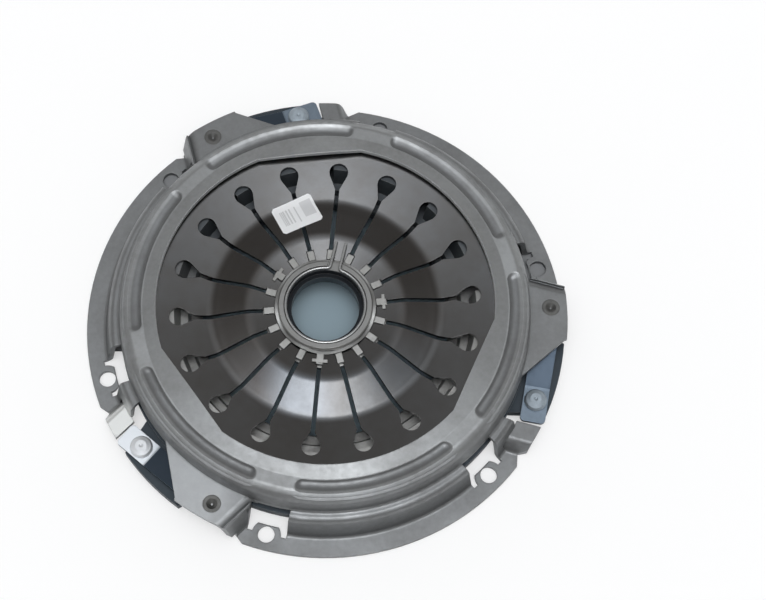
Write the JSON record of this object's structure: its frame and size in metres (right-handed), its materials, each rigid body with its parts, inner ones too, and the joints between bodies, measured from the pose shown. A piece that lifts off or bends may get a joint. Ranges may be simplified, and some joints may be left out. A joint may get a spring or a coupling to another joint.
{
  "type": "clutch pressure plate",
  "caption": "Pull-type diaphragm-spring clutch cover: stamped bell with bolt flange, fingered spring, strap-hung pressure plate and release collar.",
  "frame": {"origin": "on the clutch axis, in the plane of the flange's underside, which bolts against the flywheel", "axes": "+Z along the clutch axis, from the flywheel towards the gearbox; the ears point at 105, 225 and 345 degrees from +X about +Z"},
  "size_m": [0.32, 0.3202, 0.0482],
  "materials": {
    "stamped_steel": "phosphated and oiled, satin",
    "spring_steel": "shot-peened and tempered, dark satin",
    "rivet_steel": "bright satin",
    "cast_iron": "as cast, with a ground friction face",
    "strap_steel": "blue-tempered spring steel",
    "turned_steel": "turned, satin",
    "plated_steel": "zinc-plated, bright",
    "wire_steel": "drawn spring wire"
  },
  "bodies": {
    "cover": {"clutch_cover": "stamped_steel", "diaphragm_spring": "spring_steel", "cover_rivets": "rivet_steel", "strap_1_leaf_1": "strap_steel", "strap_1_leaf_2": "strap_steel", "strap_1_leaf_3": "strap_steel", "strap_2_leaf_1": "strap_steel", "strap_2_leaf_2": "strap_steel", "strap_2_leaf_3": "strap_steel", "strap_3_leaf_1": "strap_steel", "strap_3_leaf_2": "strap_steel", "strap_3_leaf_3": "strap_steel"},
    "pressure_plate": {"pressure_plate": "cast_iron", "lug_rivets": "rivet_steel"},
    "release_ring": {"release_collar": "turned_steel", "finger_cage": "plated_steel", "wave_washer": "plated_steel", "locking_wire": "wire_steel", "retaining_clip_1": "plated_steel", "retaining_clip_2": "plated_steel", "retaining_clip_3": "plated_steel"}
  },
  "joints": [
    {"name": "plate_lift", "type": "slide", "parent": "cover", "child": "pressure_plate", "axis": [0, 0, 1], "range_m": [0, 0.005], "deforming": ["strap_1_leaf_1", "strap_1_leaf_2", "strap_1_leaf_3", "strap_2_leaf_1", "strap_2_leaf_2", "strap_2_leaf_3", "strap_3_leaf_1", "strap_3_leaf_2", "strap_3_leaf_3"]},
    {"name": "release_pull", "type": "slide", "parent": "cover", "child": "release_ring", "axis": [0, 0, 1], "range_m": [0, 0.0199], "deforming": ["diaphragm_spring"]}
  ],
  "couplings": [
    {"joint": "release_pull", "follows": "plate_lift", "ratio": 3.9333}
  ]
}
